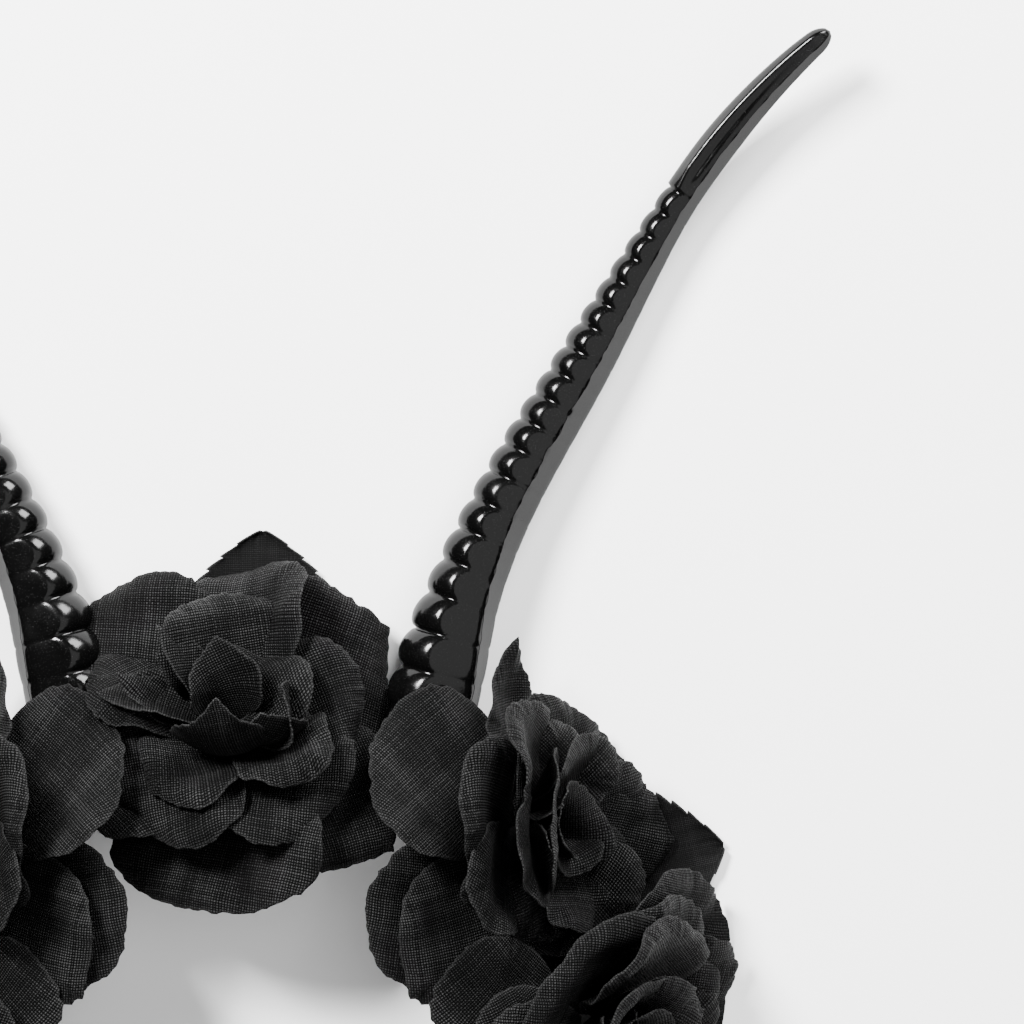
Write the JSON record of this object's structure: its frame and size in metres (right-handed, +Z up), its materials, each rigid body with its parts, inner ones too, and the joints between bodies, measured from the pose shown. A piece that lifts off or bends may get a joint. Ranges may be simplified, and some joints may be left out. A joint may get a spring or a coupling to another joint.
{
  "type": "devil horn headband",
  "caption": "Costume headband with two long curved ribbed horns, cloth roses and cloth leaves along its crown.",
  "frame": {"origin": "on the surface that the headband lies on, under the middle of its outline", "axes": "+X across the headband to its right horn as seen from the roses' side, +Y from the open ends of the hoop towards the horns' tips, +Z up, the way that the roses face"},
  "size_m": [0.2562, 0.286, 0.0475],
  "materials": {
    "horn_gloss": "high gloss, moulded",
    "petal_cloth": "stiffened plain weave",
    "leaf_cloth": "fine stiffened weave, matte",
    "band_plastic": "satin, moulded",
    "calyx_plastic": "matte, moulded"
  },
  "bodies": {
    "root": {"band": "band_plastic", "horn_right_front_shell": "horn_gloss", "horn_right_rear_shell": "horn_gloss", "horn_right_foot": "band_plastic", "horn_left_front_shell": "horn_gloss", "horn_left_rear_shell": "horn_gloss", "horn_left_foot": "band_plastic", "rose_centre_outer_petals": "petal_cloth", "rose_centre_second_petals": "petal_cloth", "rose_centre_third_petals": "petal_cloth", "rose_centre_inner_petals": "petal_cloth", "rose_centre_bud": "petal_cloth", "rose_centre_calyx": "calyx_plastic", "rose_right_upper_outer_petals": "petal_cloth", "rose_right_upper_second_petals": "petal_cloth", "rose_right_upper_third_petals": "petal_cloth", "rose_right_upper_inner_petals": "petal_cloth", "rose_right_upper_bud": "petal_cloth", "rose_right_upper_calyx": "calyx_plastic", "rose_right_lower_outer_petals": "petal_cloth", "rose_right_lower_second_petals": "petal_cloth", "rose_right_lower_third_petals": "petal_cloth", "rose_right_lower_inner_petals": "petal_cloth", "rose_right_lower_bud": "petal_cloth", "rose_right_lower_calyx": "calyx_plastic", "rose_left_upper_outer_petals": "petal_cloth", "rose_left_upper_second_petals": "petal_cloth", "rose_left_upper_third_petals": "petal_cloth", "rose_left_upper_inner_petals": "petal_cloth", "rose_left_upper_bud": "petal_cloth", "rose_left_upper_calyx": "calyx_plastic", "rose_left_lower_outer_petals": "petal_cloth", "rose_left_lower_second_petals": "petal_cloth", "rose_left_lower_third_petals": "petal_cloth", "rose_left_lower_inner_petals": "petal_cloth", "rose_left_lower_bud": "petal_cloth", "rose_left_lower_calyx": "calyx_plastic", "leaf_top": "leaf_cloth", "leaf_right": "leaf_cloth", "leaf_left": "leaf_cloth"}
  },
  "joints": []
}
